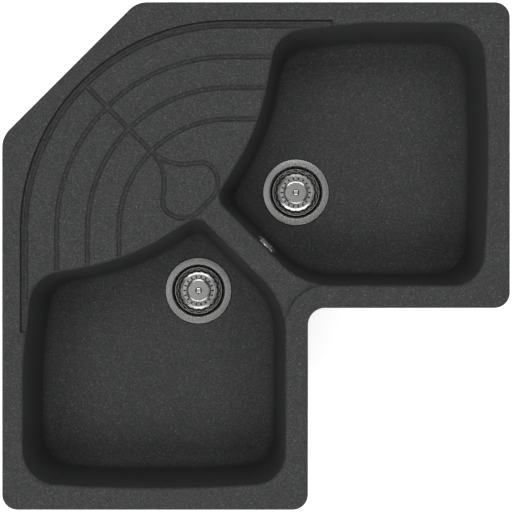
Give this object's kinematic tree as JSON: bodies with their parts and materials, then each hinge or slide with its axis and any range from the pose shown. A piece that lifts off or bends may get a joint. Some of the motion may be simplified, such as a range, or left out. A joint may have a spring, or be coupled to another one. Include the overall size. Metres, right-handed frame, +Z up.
{
  "type": "corner kitchen sink",
  "caption": "L-shaped inset corner sink of dark granite composite: equal bowls at right angles, a grooved quarter-round drainer between them, basket wastes and an overflow.",
  "frame": {"origin": "centre of the 830 mm square plan, on the worktop plane under the rim", "axes": "+Z up out of the worktop; the cut-off back corner is at -X +Y and the cook stands at the notch, +X -Y"},
  "size_m": [0.83, 0.83, 0.286],
  "materials": {
    "anthracite_composite": "matt granite composite, dark with fine light grains",
    "sealing_strip": "soft foam strip",
    "clip_steel": "zinc-plated strip",
    "screw_steel": "plated screw steel",
    "bush_plastic": "black nylon",
    "brushed_stainless": "satin stainless steel",
    "polished_stainless": "polished stainless steel",
    "bright_chrome": "bright plated metal",
    "brass_insert": "plain brass",
    "black_rubber": "smooth black rubber",
    "white_plastic": "moulded white polypropylene",
    "hose_plastic": "ribbed flexible plastic"
  },
  "bodies": {
    "sink": {"clip_bushes": "bush_plastic", "clip_screws": "screw_steel", "inlet_cap": "white_plastic", "left_flange_gasket": "black_rubber", "left_floor_gasket": "black_rubber", "left_waste_body": "white_plastic", "left_waste_flange": "brushed_stainless", "left_waste_nut": "brass_insert", "left_waste_screw": "screw_steel", "lower_hose_clamp": "clip_steel", "overflow_elbow": "white_plastic", "overflow_gasket": "black_rubber", "overflow_hose": "hose_plastic", "overflow_rosette": "bright_chrome", "overflow_screw": "bright_chrome", "right_flange_gasket": "black_rubber", "right_floor_gasket": "black_rubber", "right_waste_body": "white_plastic", "right_waste_flange": "brushed_stainless", "right_waste_nut": "brass_insert", "right_waste_screw": "screw_steel", "rim_seal": "sealing_strip", "sink_body": "anthracite_composite", "upper_hose_clamp": "clip_steel"},
    "right_basket": {"right_basket_clip": "screw_steel", "right_basket_nut": "screw_steel", "right_basket_post": "bright_chrome", "right_basket_seal": "black_rubber", "right_basket_shell": "polished_stainless"},
    "left_basket": {"left_basket_clip": "screw_steel", "left_basket_nut": "screw_steel", "left_basket_post": "bright_chrome", "left_basket_seal": "black_rubber", "left_basket_shell": "polished_stainless"},
    "clip_1": {"fixing_clip_1": "clip_steel"},
    "clip_2": {"fixing_clip_2": "clip_steel"},
    "clip_3": {"fixing_clip_3": "clip_steel"},
    "clip_4": {"fixing_clip_4": "clip_steel"},
    "clip_5": {"fixing_clip_5": "clip_steel"},
    "clip_6": {"fixing_clip_6": "clip_steel"},
    "clip_7": {"fixing_clip_7": "clip_steel"},
    "clip_8": {"fixing_clip_8": "clip_steel"},
    "clip_9": {"fixing_clip_9": "clip_steel"}
  },
  "joints": [
    {"name": "right_basket_lift", "type": "slide", "parent": "sink", "child": "right_basket", "axis": [0, 0, 1], "range_m": [0, 0.24]},
    {"name": "left_basket_lift", "type": "slide", "parent": "sink", "child": "left_basket", "axis": [0, 0, 1], "range_m": [0, 0.24]},
    {"name": "clip_1_swing", "type": "hinge", "parent": "sink", "child": "clip_1", "pos_m": [-0.29121, 0.29121, -0.0425], "axis": [0, 0, 1], "range_deg": [0, 90]},
    {"name": "clip_2_swing", "type": "hinge", "parent": "sink", "child": "clip_2", "pos_m": [-0.06, 0.3955, -0.0425], "axis": [0, 0, 1], "range_deg": [0, 90]},
    {"name": "clip_3_swing", "type": "hinge", "parent": "sink", "child": "clip_3", "pos_m": [0.24, 0.3955, -0.0425], "axis": [0, 0, 1], "range_deg": [0, 90]},
    {"name": "clip_4_swing", "type": "hinge", "parent": "sink", "child": "clip_4", "pos_m": [0.3955, 0.1665, -0.0425], "axis": [0, 0, 1], "range_deg": [0, 90]},
    {"name": "clip_5_swing", "type": "hinge", "parent": "sink", "child": "clip_5", "pos_m": [0.25, -0.0655, -0.0425], "axis": [0, 0, 1], "range_deg": [0, 90]},
    {"name": "clip_6_swing", "type": "hinge", "parent": "sink", "child": "clip_6", "pos_m": [0.0655, -0.25, -0.0425], "axis": [0, 0, 1], "range_deg": [0, 90]},
    {"name": "clip_7_swing", "type": "hinge", "parent": "sink", "child": "clip_7", "pos_m": [-0.1665, -0.3955, -0.0425], "axis": [0, 0, 1], "range_deg": [0, 90]},
    {"name": "clip_8_swing", "type": "hinge", "parent": "sink", "child": "clip_8", "pos_m": [-0.3955, -0.24, -0.0425], "axis": [0, 0, 1], "range_deg": [0, 90]},
    {"name": "clip_9_swing", "type": "hinge", "parent": "sink", "child": "clip_9", "pos_m": [-0.3955, 0.06, -0.0425], "axis": [0, 0, 1], "range_deg": [0, 90]}
  ]
}
